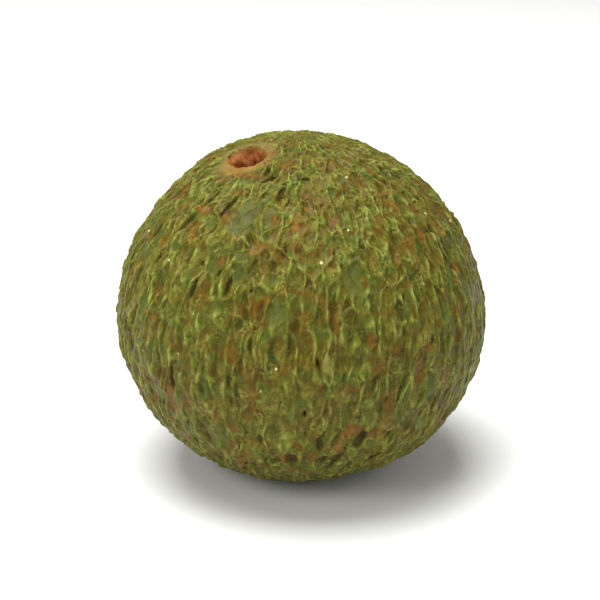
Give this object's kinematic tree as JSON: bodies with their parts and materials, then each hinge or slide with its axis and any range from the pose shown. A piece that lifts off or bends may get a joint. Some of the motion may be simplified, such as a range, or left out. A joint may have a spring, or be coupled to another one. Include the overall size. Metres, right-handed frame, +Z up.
{
  "type": "moss ball ornament",
  "caption": "Moss-green ball ornament with a hand-tooled, ridged skin, a blind stem hole leaning out of its crown and a small flat spot that it rests on.",
  "frame": {"origin": "on the flat spot that the ball rests on, under the middle of its width and depth", "axes": "+Z up through the crown, -Y towards the front, which the stem hole leans a little towards, +X to the right"},
  "size_m": [0.1, 0.0998, 0.0927],
  "materials": {
    "painted_resin": "cast resin with a tooled, ridged skin, stained terracotta, painted in moss greens and satin varnished"
  },
  "bodies": {
    "root": {"moss_ball": "painted_resin"}
  },
  "joints": []
}
